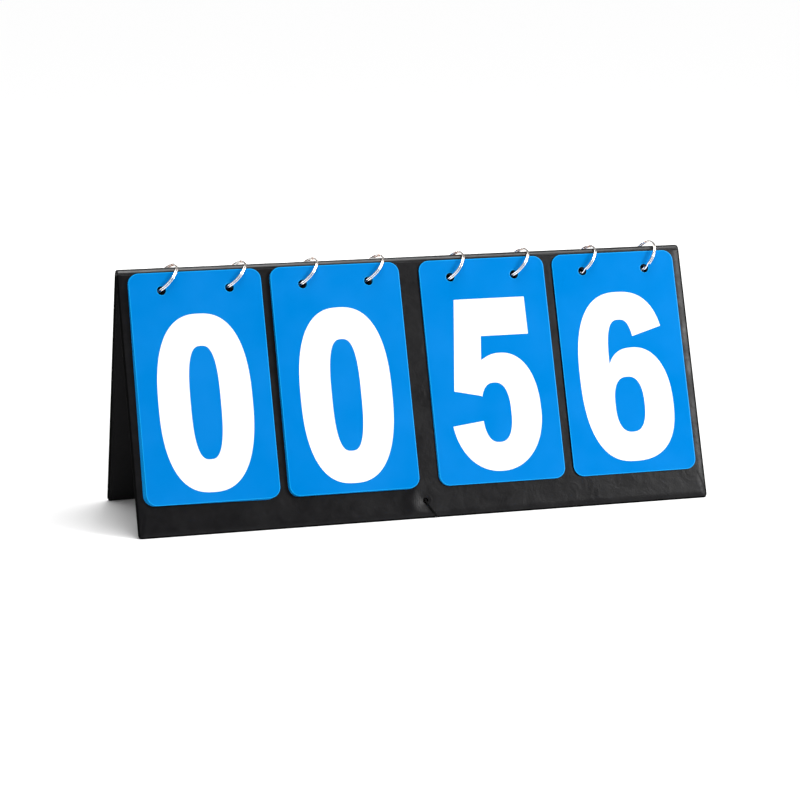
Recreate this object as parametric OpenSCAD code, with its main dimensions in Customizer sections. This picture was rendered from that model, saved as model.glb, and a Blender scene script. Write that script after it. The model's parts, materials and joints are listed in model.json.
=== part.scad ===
// Tabletop flip scoreboard: two covered boards hinged along the ridge stand as a tent,
// and four piles of numbered cards hang on split rings that go over the ridge.
// Millimetres, +Z up, +X to the right of someone who reads the front.
// The origin is on the table, in the middle under the tent.

/* [Panels] */
// Width of each panel
panel_w = 360; // [340:1:420]
// Length of each panel down its slope, from the ridge tape to the foot
panel_l = 158.5; // [150:0.5:190]
// Depth over both feet when the tent stands open
open_depth = 110; // [90:1:130]
// Thickness of a covered panel
panel_t = 3; // [2.8:0.1:3.6]
// Distance over the outer faces at the ridge
ridge_w = 7.4; // [7:0.1:9]
// Thickness of the grey board inside a panel
board_t = 2; // [1.6:0.1:2.2]
// Thickness of the lining on the inner face
lining_t = 0.4; // [0.3:0.05:0.6]
// Width of the cover wall round the board
edge_wall = 1.8; // [1.6:0.1:3]
// Flat worn on each foot where it stands
foot_cut = 0.5; // [0.3:0.05:0.8]

/* [Cards] */
// Width of a number card
card_w = 80.7; // [70:0.1:82.4]
// Height of a number card
card_h = 139.5; // [110:0.5:142]
// Thickness of a number card
card_t = 0.2; // [0.15:0.01:0.22]
// Corner radius of a number card
card_r = 6.5; // [3:0.5:10]
// Distance from one card to the next in a pile
card_pitch = 0.25; // [0.24:0.005:0.27]
// Card edge below the ridge end of the panel
card_drop = 0.2; // [0:0.1:1.5]
// Distance from the middle of the board to the middle of the inner cards
inner_place = 47; // [45:0.1:48]
// Distance between the middles of a tens card and its units card
card_step = 86.6; // [85:0.1:88]
// How far all the piles hang to the right of even places about the middle
pile_side = 0.2; // [0:0.1:0.6]
// Sideways fan from each card to the one under it
fan_side = 0.02; // [0:0.01:0.14]
// Downward fan from each card to the one under it
fan_down = 0.02; // [0:0.01:0.08]

/* [Holes] */
// Diameter of the holes in the cards
card_hole_d = 5.6; // [5.2:0.1:7]
// Distance from the middle of a card to each of its holes
hole_side = 20.7; // [15:0.1:25]
// Distance from the top edge of a card to the middle of its holes
hole_down = 10.9; // [10.5:0.1:11.5]
// Diameter of the holes in the panels that the rings go through
panel_hole_d = 7; // [6.6:0.1:8]

/* [Rings] */
// Radius of a ring to the middle of its wire
ring_r = 11; // [10.8:0.1:11.2]
// Wire thickness across the ring, from its bore to its rim
wire_across = 1.1; // [0.8:0.1:1.2]
// Wire thickness along the axis, for each of the two turns
wire_along = 0.85; // [0.6:0.05:0.9]
// Space between the two turns
wire_gap = 0.05; // [0.03:0.01:0.1]
// Turn of a ring about the vertical
ring_yaw = 10; // [0:1:12]
// How far the wire hangs to the left of the middle of the card holes
ring_side = 0.6; // [0:0.1:0.8]

/* [Cord] */
// Diameter of the spacer cord
cord_d = 1; // [0.8:0.1:1.3]
// Diameter of the cord hole in each panel
cord_hole_d = 3.6; // [3:0.1:6]
// Distance from a panel's foot up its slope to the cord hole
cord_hole_up = 11; // [9:0.5:16]
// Sideways place of the cord hole, from the middle of the board
cord_hole_side = -3.2; // [-6:0.1:0]
// Sideways place where the cord goes under the foot
cord_foot_side = 2.8; // [1:0.1:6]

/* [Hidden] */
$fn = 48;

// Names of the stacks from left to right, and the number that each one shows
STACKS = ["home_tens", "home_units", "guest_tens", "guest_units"];
SHOWN = [0, 0, 5, 6];
LAST_DIGIT = 9;
DIGITS = [0:LAST_DIGIT];
STACK_IDS = [0:len(STACKS) - 1];
// How far each ring leans to the right, and how far it rises off the ridge
RING_LEAN = [43, 45, 43, 44, 38, 41, 38, 31];
RING_RISE = [0.25, 0.3, 0.25, 0.35, 0.25, 0.3, 0.25, 1.8];
RINGS = [0:len(RING_LEAN) - 1];

function card_name(stack, digit) = str(STACKS[stack], "_card_", digit);
function ring_name(ring) = str("ring_", ring + 1);

COVER_COLOR = [0.15, 0.14, 0.155];
LINING_COLOR = [0.11, 0.11, 0.12];
BOARD_COLOR = [0.55, 0.53, 0.49];
CARD_COLOR = [0, 0.55, 0.92];
RING_COLOR = [0.8, 0.79, 0.77];
CORD_COLOR = [0.07, 0.07, 0.07];

// The rounded edge of a panel, and the lean of a panel that gives the open depth
edge_r = panel_t / 2;
foot_reach = open_depth / 2 - ridge_w / 2 - edge_r;
lean = atan(edge_r / (panel_l - edge_r)) + asin(foot_reach / norm([panel_l - edge_r, edge_r]));

// Height of the ridge end of the panels, with the flat of the feet on the table
foot_lift = edge_r - foot_cut - edge_r * cos(lean) + edge_r * sin(lean);
panel_top_z = panel_l * cos(lean) + foot_lift;

// The ridge tape is an arc that runs smoothly into both slopes
spine_t = 0.6;
spine_r = ridge_w / 2 / cos(lean);
spine_z = panel_top_z - spine_r * sin(lean);
ridge_top_z = spine_z + spine_r;
seam_gap = 0.05;

// Width of a ring along its axis, over both turns of wire
both_turns = 2 * wire_along + wire_gap;

// The joints' values, printed for the record. The cards of a pile turn over about one line above
// the ridge, on which both slopes agree, and the tent folds about a line under the ridge tape.
axis_z = panel_top_z + ridge_w / 2 / tan(lean) + (LAST_DIGIT + 2) * card_pitch / (2 * sin(lean));
flip_angle = 360 - 2 * lean;
fold_z = panel_top_z - panel_t * sin(lean);
echo(axis_z = axis_z, flip_angle = flip_angle, fold_z = fold_z);

// A point on a slope: x, distance down the slope, height off the outer face, and +1 front or -1 back
function slope_point(x, down, off, side) = [
    x,
    -side * (ridge_w / 2 + down * sin(lean) + off * cos(lean)),
    panel_top_z - down * cos(lean) + off * sin(lean)
];

// The frame of a ring: two directions in its plane, and its middle when its own x is nought
function ring_back(ring) = [-sin(ring_yaw), cos(ring_yaw), 0];
function ring_up(ring) = [
    sin(RING_LEAN[ring]) * cos(ring_yaw),
    sin(RING_LEAN[ring]) * sin(ring_yaw),
    cos(RING_LEAN[ring])
];
function ring_middle_z(ring) =
    ridge_top_z + RING_RISE[ring] + both_turns / 2 * sin(RING_LEAN[ring])
    - (ring_r - wire_across / 2) * cos(RING_LEAN[ring]);

// Where the wire of a ring goes through the plane at a height off one slope, as [x, down]
function ring_crossing(ring, off, side) =
    let (
        out = [0, -side * cos(lean), sin(lean)],
        start = slope_point(0, 0, 0, side),
        from_start = [0, 0, ring_middle_z(ring)] - start,
        a = ring_back(ring) * out,
        b = ring_up(ring) * out,
        turn = acos((off - from_start * out) / (ring_r * norm([a, b]))),
        spot = [for (way = [-1, 1])
            let (t = atan2(b, a) + way * turn)
            from_start + ring_r * (cos(t) * ring_back(ring) + sin(t) * ring_up(ring))],
        down = [for (p = spot) p * [0, -side * sin(lean), -cos(lean)]],
        low = down[0] > down[1] ? 0 : 1
    )
    [spot[low][0], down[low]];

// Middle of a stack, and of the card hole that a ring goes through
function stack_x(stack) =
    pile_side + (stack < 2 ? -1 : 1) * (inner_place + (stack == 0 || stack == 3 ? card_step : 0));
function ring_stack(ring) = floor(ring / 2);
function ring_hole_x(ring) = stack_x(ring_stack(ring)) + (ring % 2 == 0 ? -1 : 1) * hole_side;

// Height off the slope of the middle of a pile that hangs in front or behind
function front_count(stack) = LAST_DIGIT + 1 - SHOWN[stack];
function front_middle(stack) = (front_count(stack) + 1) / 2 * card_pitch;
function back_middle(stack) = max(1, SHOWN[stack] + 1) / 2 * card_pitch;

// The ring stands where its wire goes through the holes of the front pile, left of their middle
function ring_x(ring) =
    ring_hole_x(ring) - front_fan(ring_stack(ring)) - ring_side
    - ring_crossing(ring, front_middle(ring_stack(ring)), 1)[0];
function front_fan(stack) = fan_side * (front_count(stack) - 1) / 2;
function panel_hole(ring, side) =
    ring_crossing(ring, -panel_t / 2, side) + [ring_x(ring), 0];

// The cards behind hang a little to the left, where the rings cross the back slope
function back_shift(stack) =
    let (
        ring = 2 * stack,
        behind = ring_crossing(ring, back_middle(stack), -1),
        ahead = ring_crossing(ring, front_middle(stack), 1)
    )
    [behind[0] - ahead[0] - ring_side, behind[1] - ahead[1]];

// Place of a card, as [x, distance down the slope to its top edge]
function card_place(stack, digit) =
    let (
        is_front = digit >= SHOWN[stack],
        under = is_front ? digit - SHOWN[stack] : SHOWN[stack] - 1 - digit,
        shift = is_front ? [0, 0] : back_shift(stack)
    )
    [
        stack_x(stack) + shift[0] - fan_side * under,
        card_drop + shift[1] + fan_down * under
    ];

// Shapes drawn here lie on a slope: y up the slope from the ridge end, z outwards, and x to the
// right of someone who faces that slope, so a place x of the whole tent is side * x here
module on_slope(side) {
    rotate([0, 0, side > 0 ? 0 : 180])
        translate([0, -ridge_w / 2, panel_top_z])
            rotate([90 - lean, 0, 0])
                children();
}

// A panel's outer form, with round sides, round foot and a square ridge end
module panel_form() {
    half = panel_w / 2 - edge_r;
    low = -(panel_l - edge_r);
    translate([-half, low, -panel_t]) cube([2 * half, -low, panel_t]);
    translate([-half, low, -edge_r]) rotate([-90, 0, 0]) cylinder(r = edge_r, h = -low);
    translate([half, low, -edge_r]) rotate([-90, 0, 0]) cylinder(r = edge_r, h = -low);
    translate([-half, low, -edge_r]) rotate([0, 90, 0]) cylinder(r = edge_r, h = 2 * half);
    for (end = [-1, 1]) translate([end * half, low, -edge_r]) sphere(r = edge_r);
}

// The space for the board and lining, open to the inner face
module board_space(depth, slack) {
    wide = panel_w - 2 * edge_wall - 2 * slack;
    tall = panel_l - 2 * edge_wall - 2 * slack;
    translate([-wide / 2, -panel_l + edge_wall + slack, -panel_t])
        cube([wide, tall, depth]);
}

// Holes for the rings and for the spacer cord, square through a panel
module panel_holes(side) {
    through = panel_t + 2;
    for (ring = RINGS) {
        place = panel_hole(ring, side);
        translate([side * place[0], -place[1], -through + 1]) cylinder(d = panel_hole_d, h = through);
    }
    translate([side * cord_hole_side, -panel_l + cord_hole_up, -through + 1])
        cylinder(d = cord_hole_d, h = through);
}

// Everything under the table top
module below_table() {
    translate([-panel_w, -open_depth, -open_depth]) cube([2 * panel_w, 2 * open_depth, open_depth]);
}

// The dent that the cord presses in both feet
module cord_dent() {
    dent = cord_d + 0.8;
    translate([cord_foot_side - dent / 2, -open_depth, -1]) cube([dent, 2 * open_depth, dent + 1]);
}

module cover(side) {
    color(COVER_COLOR)
        difference() {
            on_slope(side) difference() {
                panel_form();
                translate([0, 0, -1]) board_space(board_t + lining_t + 1, 0);
                panel_holes(side);
            }
            below_table();
            cord_dent();
        }
}

module board(side) {
    color(BOARD_COLOR)
        difference() {
            on_slope(side) difference() {
                translate([0, 0, lining_t]) board_space(board_t, 0.2);
                panel_holes(side);
            }
            cord_dent();
        }
}

module lining(side) {
    color(LINING_COLOR)
        difference() {
            on_slope(side) difference() {
                board_space(lining_t, 0.1);
                panel_holes(side);
            }
            cord_dent();
        }
}

// The tape over the ridge, from just short of one panel to just short of the other
module spine_strip() {
    color(COVER_COLOR)
        translate([-panel_w / 2, 0, spine_z])
            rotate([90, 0, 90])
                linear_extrude(panel_w) difference() {
                    circle(r = spine_r, $fn = 96);
                    circle(r = spine_r - spine_t, $fn = 96);
                    translate([0, seam_gap / cos(lean)]) polygon([
                        [0, 0],
                        2 * spine_r * [cos(lean), sin(lean)],
                        [2 * spine_r, -2 * spine_r],
                        [-2 * spine_r, -2 * spine_r],
                        2 * spine_r * [-cos(lean), sin(lean)]
                    ]);
                }
}

// A split ring: two flat turns of wire, each a little short of full, that join at a crank
module ring(ring) {
    crank = 20;
    opening = 10;
    color(RING_COLOR)
        translate([ring_x(ring), 0, ring_middle_z(ring)])
            rotate([0, RING_LEAN[ring], ring_yaw])
                rotate([0, 90, 0])
                    rotate([0, 0, 200]) difference() {
                        rotate([0, 0, -crank / 2]) wire_sweep(360) wire_section(both_turns);
                        wire_sweep(360 - crank) turn_groove();
                        rotate([0, 0, -1]) wire_sweep(opening)
                            translate([-wire_across, 0]) square([2 * wire_across, both_turns]);
                        rotate([0, 0, 361 - crank - opening]) wire_sweep(opening)
                            translate([-wire_across, -both_turns]) square([2 * wire_across, both_turns]);
                    }
}

// Sweeps a section round the ring's axis
module wire_sweep(angle) {
    rotate_extrude(angle = angle, $fn = 96) translate([ring_r, 0]) children();
}

// Section over both turns, with eased corners
module wire_section(height) {
    ease = 0.2;
    half_x = wire_across / 2;
    half_y = height / 2;
    polygon([
        [half_x, half_y - ease], [half_x - ease, half_y],
        [ease - half_x, half_y], [-half_x, half_y - ease],
        [-half_x, ease - half_y], [ease - half_x, -half_y],
        [half_x - ease, -half_y], [half_x, ease - half_y]
    ]);
}

// The slit between the turns, flared where the wire's own corners are eased
module turn_groove() {
    flare = 0.15;
    deep = wire_across / 2 - flare;
    past = wire_across / 2 + flare;
    slit = wire_gap / 2;
    wide = slit + 2 * flare;
    polygon([
        [deep, slit], [past, wide], [past, -wide], [deep, -slit],
        [-deep, -slit], [-past, -wide], [-past, wide], [-deep, slit]
    ]);
}

// A card hangs in front, or behind once it is turned over the ridge
module card(stack, digit) {
    side = digit >= SHOWN[stack] ? 1 : -1;
    off = (side > 0 ? LAST_DIGIT + 1 - digit : digit + 1) * card_pitch;
    place = card_place(stack, digit);
    color(CARD_COLOR)
        on_slope(side)
            translate([side * place[0], -place[1], off - card_t / 2])
                linear_extrude(card_t) difference() {
                    card_outline();
                    for (way = [-1, 1]) translate([way * hole_side, -hole_down]) circle(d = card_hole_d);
                }
}

module card_outline() {
    half = card_w / 2 - card_r;
    translate([-half, -card_h]) square([2 * half, card_h]);
    translate([-card_w / 2, -card_h + card_r]) square([card_w, card_h - 2 * card_r]);
    for (x = [-half, half], y = [-card_r, card_r - card_h]) translate([x, y]) circle(r = card_r);
}

// The spacer cord is one loop: out of a hole, down under the foot, across, and back the same way
cord_off = cord_d / 2 + 0.15;
cord_low_z = cord_d / 2 + 0.1;
function cord_half(side) = [
    slope_point(cord_hole_side, panel_l - cord_hole_up, -panel_t - 4, side),
    slope_point(cord_hole_side, panel_l - cord_hole_up, -panel_t, side),
    slope_point(cord_hole_side, panel_l - cord_hole_up, -cord_d, side),
    slope_point(cord_hole_side + 0.1, panel_l - cord_hole_up + 0.3, 0.2, side),
    slope_point(cord_hole_side + 0.6, panel_l - cord_hole_up + 1.2, cord_off, side),
    slope_point(0, panel_l - cord_hole_up / 2, cord_off, side),
    slope_point(cord_foot_side - 0.3, panel_l - 1.8, cord_off + 0.05, side),
    [cord_foot_side, -side * (open_depth / 2 + 0.05), cord_low_z + 0.55],
    [cord_foot_side, -side * (open_depth / 2 - 1.2), cord_low_z],
    [cord_foot_side, -side * (open_depth / 2 - 6), cord_low_z]
];
function reversed(list) = [for (i = [len(list) - 1:-1:0]) list[i]];
CORD_ROUTE = concat(cord_half(1), reversed(cord_half(-1)));
CORD_SIDES = 8;

function unit(v) = v / norm(v);
function cord_ring(i) =
    let (
        count = len(CORD_ROUTE),
        here = CORD_ROUTE[i],
        along = unit(CORD_ROUTE[(i + 1) % count] - CORD_ROUTE[(i + count - 1) % count]),
        across = unit(cross(along, [1, 0, 0])),
        other = cross(along, across)
    )
    [for (k = [0:CORD_SIDES - 1])
        here + cord_d / 2 * (cos(k * 360 / CORD_SIDES) * across + sin(k * 360 / CORD_SIDES) * other)];

module spacer_cord() {
    count = len(CORD_ROUTE);
    points = [for (i = [0:count - 1]) each cord_ring(i)];
    faces = [for (i = [0:count - 1], k = [0:CORD_SIDES - 1], half = [0, 1])
        let (
            a = i * CORD_SIDES + k,
            b = i * CORD_SIDES + (k + 1) % CORD_SIDES,
            c = (i + 1) % count * CORD_SIDES + (k + 1) % CORD_SIDES,
            d = (i + 1) % count * CORD_SIDES + k
        )
        half == 0 ? [a, b, c] : [a, c, d]];
    color(CORD_COLOR) polyhedron(points, faces, convexity = 6);
}

cover(1);  // front_cover
board(1);  // front_board
lining(1);  // front_lining
cover(-1);  // back_cover
board(-1);  // back_board
lining(-1);  // back_lining
spine_strip();
spacer_cord();
for (i = RINGS) {
    ring(i);
}
for (stack = STACK_IDS, digit = DIGITS) {
    card(stack, digit);
}
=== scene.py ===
"""Looks of a tabletop flip scoreboard, built around its packed construction.

Two covered boards stand as a tent. Four piles of numbered cards hang on split rings
that go over the ridge, and a looped cord keeps the feet from sliding apart.
Lengths are in metres. +Z is up, and +X is to the right of someone who reads the front.
"""

from __future__ import annotations

import json
import logging
import math
from dataclasses import dataclass, field
from enum import Enum
from typing import Callable, Iterable, Sequence

import bmesh
import bpy
import numpy as np
from mathutils import Matrix, Vector, noise
from mathutils.geometry import tessellate_polygon

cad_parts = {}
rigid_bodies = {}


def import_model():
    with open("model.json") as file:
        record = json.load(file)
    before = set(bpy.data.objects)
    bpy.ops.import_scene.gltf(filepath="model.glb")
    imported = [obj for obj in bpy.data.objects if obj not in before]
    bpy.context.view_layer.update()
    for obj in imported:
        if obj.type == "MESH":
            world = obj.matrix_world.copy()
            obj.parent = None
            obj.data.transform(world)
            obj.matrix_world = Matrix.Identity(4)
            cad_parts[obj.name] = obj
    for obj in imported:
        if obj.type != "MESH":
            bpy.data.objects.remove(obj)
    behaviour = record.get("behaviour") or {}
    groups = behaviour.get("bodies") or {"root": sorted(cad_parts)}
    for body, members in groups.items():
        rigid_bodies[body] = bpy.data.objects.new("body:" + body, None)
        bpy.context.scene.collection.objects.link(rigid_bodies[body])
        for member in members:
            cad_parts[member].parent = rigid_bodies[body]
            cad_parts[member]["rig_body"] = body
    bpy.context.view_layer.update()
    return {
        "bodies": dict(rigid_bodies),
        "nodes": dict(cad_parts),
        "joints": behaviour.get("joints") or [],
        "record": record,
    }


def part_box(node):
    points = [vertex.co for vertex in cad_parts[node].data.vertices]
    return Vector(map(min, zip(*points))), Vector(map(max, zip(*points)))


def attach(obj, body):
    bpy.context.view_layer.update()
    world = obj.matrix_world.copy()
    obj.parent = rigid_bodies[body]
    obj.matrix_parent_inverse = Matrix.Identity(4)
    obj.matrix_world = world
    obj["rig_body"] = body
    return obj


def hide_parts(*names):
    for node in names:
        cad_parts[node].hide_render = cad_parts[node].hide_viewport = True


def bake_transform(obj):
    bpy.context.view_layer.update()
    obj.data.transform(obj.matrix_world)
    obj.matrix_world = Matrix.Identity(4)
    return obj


LOG = logging.getLogger("flip_scoreboard")
MM = 0.001

# Degrees round a rounded edge at which a grid has a line.
BEND_TURNS = range(0, 91, 10)

Point2 = tuple[float, float]
Face = tuple[int, ...]
Colour = tuple[float, float, float, float]


class Side(Enum):
    """The two slopes of the tent."""

    FRONT = 1
    BACK = -1


@dataclass(frozen=True)
class Tent:
    """The standing tent's form, from which every slope and place is worked out."""

    width: float = 360 * MM
    slope_length: float = 158.5 * MM
    open_depth: float = 110 * MM
    thickness: float = 3 * MM
    ridge_width: float = 7.4 * MM
    foot_cut: float = 0.5 * MM

    @property
    def edge_radius(self) -> float:
        """Radius of a panel's round edge."""
        return self.thickness / 2

    @property
    def lean(self) -> float:
        """Lean of each panel from upright, in radians."""
        run = self.slope_length - self.edge_radius
        reach = self.open_depth / 2 - self.ridge_width / 2 - self.edge_radius
        return math.atan(self.edge_radius / run) + math.asin(reach / math.hypot(run, self.edge_radius))

    @property
    def top_z(self) -> float:
        """Height of the ridge end of the panels."""
        lift = self.edge_radius * (1 - math.cos(self.lean) + math.sin(self.lean)) - self.foot_cut
        return self.slope_length * math.cos(self.lean) + lift

    @property
    def ridge_radius(self) -> float:
        """Outer radius of the tape over the ridge."""
        return self.ridge_width / 2 / math.cos(self.lean)

    @property
    def ridge_z(self) -> float:
        """Height of the middle of the ridge tape's arc."""
        return self.top_z - self.ridge_radius * math.sin(self.lean)

    def slope(self, side: Side) -> Matrix:
        """Gives the frame of a slope as someone who faces it sees it.

        Args:
            side: The slope.

        Returns:
            A matrix whose x runs right, y up the slope from the ridge end, and z outwards.
        """
        way = side.value
        sin, cos = math.sin(self.lean), math.cos(self.lean)
        frame = Matrix(((way, 0, 0, 0), (0, way * sin, -way * cos, 0), (0, cos, sin, 0), (0, 0, 0, 1)))
        frame.translation = Vector((0, -way * self.ridge_width / 2, self.top_z))
        return frame

    def turned_slope(self) -> Matrix:
        """Gives the back slope's frame for a card that went over the ridge, whose print faces the panel."""
        return self.slope(Side.BACK) @ Matrix.Rotation(math.pi, 4, "Y")

    def slope_point(self, x: float, down: float, off: float, side: Side) -> Vector:
        """Gives a point on a slope.

        Args:
            x: Place across the whole tent.
            down: Distance down the slope from its ridge end.
            off: Height off the outer face.
            side: The slope.

        Returns:
            The point in the tent's own frame.
        """
        return self.slope(side) @ Vector((side.value * x, -down, off))


@dataclass(frozen=True)
class RingPlace:
    """Where a split ring sits: its middle, its axis and the radius to the middle of its wire."""

    middle: Vector
    axis: Vector
    radius: float

    def across(self) -> tuple[Vector, Vector]:
        """Gives two directions in the ring's plane: level, and up."""
        level = Vector((0, 0, 1)).cross(self.axis).normalized()
        return level, self.axis.cross(level)

    def crossing(self, tent: Tent, off: float, side: Side) -> Vector:
        """Finds where the ring goes through the plane at a height off a slope, low on that slope.

        Args:
            tent: The tent.
            off: Height of the plane off the slope's outer face.
            side: The slope.

        Returns:
            The lower crossing, in the slope's own frame.
        """
        frame = tent.slope(side).inverted()
        middle = frame @ self.middle
        level, up = (frame.to_3x3() @ way for way in self.across())
        reach = math.hypot(level.z, up.z)
        turn = math.acos(max(-1.0, min(1.0, (off - middle.z) / (self.radius * reach))))
        start = math.atan2(up.z, level.z)
        spots = [
            middle + self.radius * (math.cos(start + way * turn) * level + math.sin(start + way * turn) * up)
            for way in (-1, 1)
        ]
        return min(spots, key=lambda spot: spot.y)


def srgb(red: int, green: int, blue: int) -> Colour:
    """Turns a colour of three 0 to 255 values into the linear colour that shaders take.

    Args:
        red: Red, from 0 to 255.
        green: Green, from 0 to 255.
        blue: Blue, from 0 to 255.

    Returns:
        Linear red, green and blue, and an alpha of one.
    """
    parts = [value / 255 for value in (red, green, blue)]
    linear = [p / 12.92 if p <= 0.04045 else ((p + 0.055) / 1.055) ** 2.4 for p in parts]
    return (linear[0], linear[1], linear[2], 1.0)


class NodeSheet:
    """A material's or geometry tree's nodes, with short calls to add and join them."""

    def __init__(self, tree: bpy.types.NodeTree) -> None:
        """Keeps the tree, and starts with no nodes placed."""
        self.tree = tree
        self.count = 0

    def add(self, kind: str, **settings: object) -> bpy.types.Node:
        """Adds a node.

        Args:
            kind: The node's type name.
            settings: Properties of the node, and values of its inputs by their name with _ for a space.

        Returns:
            The new node.
        """
        node = self.tree.nodes.new(kind)
        node.location = (self.count * 180, 0)
        self.count += 1
        for name, value in settings.items():
            if hasattr(node, name):
                setattr(node, name, value)
            else:
                node.inputs[name.replace("_", " ")].default_value = value
        return node

    def join(self, source: bpy.types.NodeSocket, target: bpy.types.NodeSocket) -> None:
        """Links an output to an input."""
        self.tree.links.new(source, target)

    def ramp(self, source: bpy.types.NodeSocket, low: float, high: float, start: float = 0.3,
             end: float = 0.7) -> bpy.types.NodeSocket:
        """Maps a value onto a new range.

        Args:
            source: The value.
            low: Result at the start.
            high: Result at the end.
            start: Value that gives low.
            end: Value that gives high.

        Returns:
            The mapped value.
        """
        node = self.add("ShaderNodeMapRange", clamp=True)
        for name, value in (("From Min", start), ("From Max", end), ("To Min", low), ("To Max", high)):
            node.inputs[name].default_value = value
        self.join(source, node.inputs["Value"])
        return node.outputs["Result"]

    def mix(self, factor: bpy.types.NodeSocket, first: Sequence[float],
            second: Sequence[float]) -> bpy.types.NodeSocket:
        """Mixes two colours by a factor, and gives the mixed colour."""
        node = self.add("ShaderNodeMix", data_type="RGBA")
        colours = [socket for socket in node.inputs if socket.type == "RGBA"]
        colours[0].default_value = first
        colours[1].default_value = second
        self.join(factor, node.inputs["Factor"])
        return next(socket for socket in node.outputs if socket.type == "RGBA")


@dataclass(frozen=True)
class Finish:
    """A surface finish. Each kind of finish adds its own grain and colour."""

    name: str
    slot: str
    colour: Colour
    roughness: float = 0.5
    specular: float = 0.5

    def material(self) -> bpy.types.Material:
        """Builds the finish's material, or gives the one that was built before."""
        made = bpy.data.materials.get(self.name)
        if made is not None:
            return made
        made = bpy.data.materials.new(self.name)
        made.use_nodes = True
        made.node_tree.nodes.clear()
        sheet = NodeSheet(made.node_tree)
        shader = sheet.add("ShaderNodeBsdfPrincipled")
        shader.inputs["Base Color"].default_value = self.colour
        shader.inputs["Roughness"].default_value = self.roughness
        shader.inputs["Specular IOR Level"].default_value = self.specular
        place = sheet.add("ShaderNodeTexCoord").outputs["Object"]
        self.dress(sheet, shader, place)
        output = sheet.add("ShaderNodeOutputMaterial")
        sheet.join(shader.outputs["BSDF"], output.inputs["Surface"])
        return made

    def toned(self, factor: float, lift: float = 0.0) -> Colour:
        """Gives the finish's colour made darker or paler by a factor, and raised by a lift."""
        red, green, blue = (min(1.0, part * factor + lift) for part in self.colour[:3])
        return (red, green, blue, 1.0)

    def dress(self, sheet: NodeSheet, shader: bpy.types.Node, place: bpy.types.NodeSocket) -> None:
        """Adds the finish's grain to its shader. Each kind of finish has its own."""
        raise NotImplementedError

    @staticmethod
    def grain(sheet: NodeSheet, place: bpy.types.NodeSocket, size: float, detail: float = 3,
              distortion: float = 0.0) -> bpy.types.NodeSocket:
        """Adds a noise of a real size.

        Args:
            sheet: The material's nodes.
            place: Coordinates.
            size: Size of the grain.
            detail: Levels of finer noise.
            distortion: How far the noise is warped.

        Returns:
            The noise value.
        """
        node = sheet.add("ShaderNodeTexNoise")
        node.inputs["Scale"].default_value = 1 / size
        node.inputs["Detail"].default_value = detail
        node.inputs["Distortion"].default_value = distortion
        sheet.join(place, node.inputs["Vector"])
        return node.outputs["Fac"]

    @staticmethod
    def bump(sheet: NodeSheet, shader: bpy.types.Node,
             layers: Iterable[tuple[bpy.types.NodeSocket, float, float]]) -> None:
        """Joins bump layers to the shader.

        Args:
            sheet: The material's nodes.
            shader: The shader that takes the bump.
            layers: For each layer its height, its depth and its strength.
        """
        normal = None
        for height, depth, strength in layers:
            node = sheet.add("ShaderNodeBump")
            node.inputs["Distance"].default_value = depth
            node.inputs["Strength"].default_value = strength
            sheet.join(height, node.inputs["Height"])
            if normal is not None:
                sheet.join(normal, node.inputs["Normal"])
            normal = node.outputs["Normal"]
        if normal is not None:
            sheet.join(normal, shader.inputs["Normal"])


@dataclass(frozen=True)
class Leatherette(Finish):
    """Black satin covering with a fine grain and a mottled sheen. Its fields are the sizes of each grain."""

    mottle: float = 14 * MM
    rub: float = 3.5 * MM
    pebble: float = 0.75 * MM
    pore: float = 0.28 * MM
    wave: float = 9 * MM
    worn: float = 2.3

    def dress(self, sheet: NodeSheet, shader: bpy.types.Node, place: bpy.types.NodeSocket) -> None:
        """Adds the leather grain, its soft waves and the mottled sheen."""
        mottle = self.grain(sheet, place, self.mottle, 4, 0.4)
        rub = self.grain(sheet, place, self.rub, 3)
        pebbles = sheet.add("ShaderNodeTexVoronoi", feature="SMOOTH_F1")
        pebbles.inputs["Scale"].default_value = 1 / self.pebble
        sheet.join(place, pebbles.inputs["Vector"])
        pores = self.grain(sheet, place, self.pore, 2)
        waves = self.grain(sheet, place, self.wave, 3, 0.8)
        tone = sheet.mix(sheet.ramp(rub, 0, 0.55, 0.45, 0.75), self.colour, self.toned(self.worn))
        sheet.join(tone, shader.inputs["Base Color"])
        rough = sheet.ramp(mottle, self.roughness - 0.07, self.roughness + 0.08)
        sheet.join(rough, shader.inputs["Roughness"])
        self.bump(sheet, shader, ((waves, 0.5 * MM, 0.5), (pebbles.outputs["Distance"], 0.05 * MM, 0.35),
                                  (pores, 0.02 * MM, 0.3)))


@dataclass(frozen=True)
class CardPlastic(Finish):
    """Coloured card under a smooth film, with a trace of printing mottle."""

    cloud: float = 30 * MM
    peel: float = 1.6 * MM

    def dress(self, sheet: NodeSheet, shader: bpy.types.Node, place: bpy.types.NodeSocket) -> None:
        """Adds the printed colour's faint cloud and the film's orange peel."""
        cloud = self.grain(sheet, place, self.cloud, 2)
        peel = self.grain(sheet, place, self.peel, 2)
        tone = sheet.mix(sheet.ramp(cloud, 0, 1), self.colour, self.toned(1.06, 0.004))
        sheet.join(tone, shader.inputs["Base Color"])
        rough = sheet.ramp(cloud, self.roughness - 0.03, self.roughness + 0.04)
        sheet.join(rough, shader.inputs["Roughness"])
        self.bump(sheet, shader, ((peel, 0.02 * MM, 0.12),))


@dataclass(frozen=True)
class Ink(Finish):
    """Flat white screen ink with the weave of the screen just showing."""

    lay: float = 2.5 * MM
    weave: float = 0.4 * MM

    def dress(self, sheet: NodeSheet, shader: bpy.types.Node, place: bpy.types.NodeSocket) -> None:
        """Adds the ink's slight unevenness."""
        lay = self.grain(sheet, place, self.lay, 2)
        tone = sheet.mix(sheet.ramp(lay, 0, 1), self.colour, self.toned(0.985))
        sheet.join(tone, shader.inputs["Base Color"])
        self.bump(sheet, shader, ((self.grain(sheet, place, self.weave, 2), 0.01 * MM, 0.15),))


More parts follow.
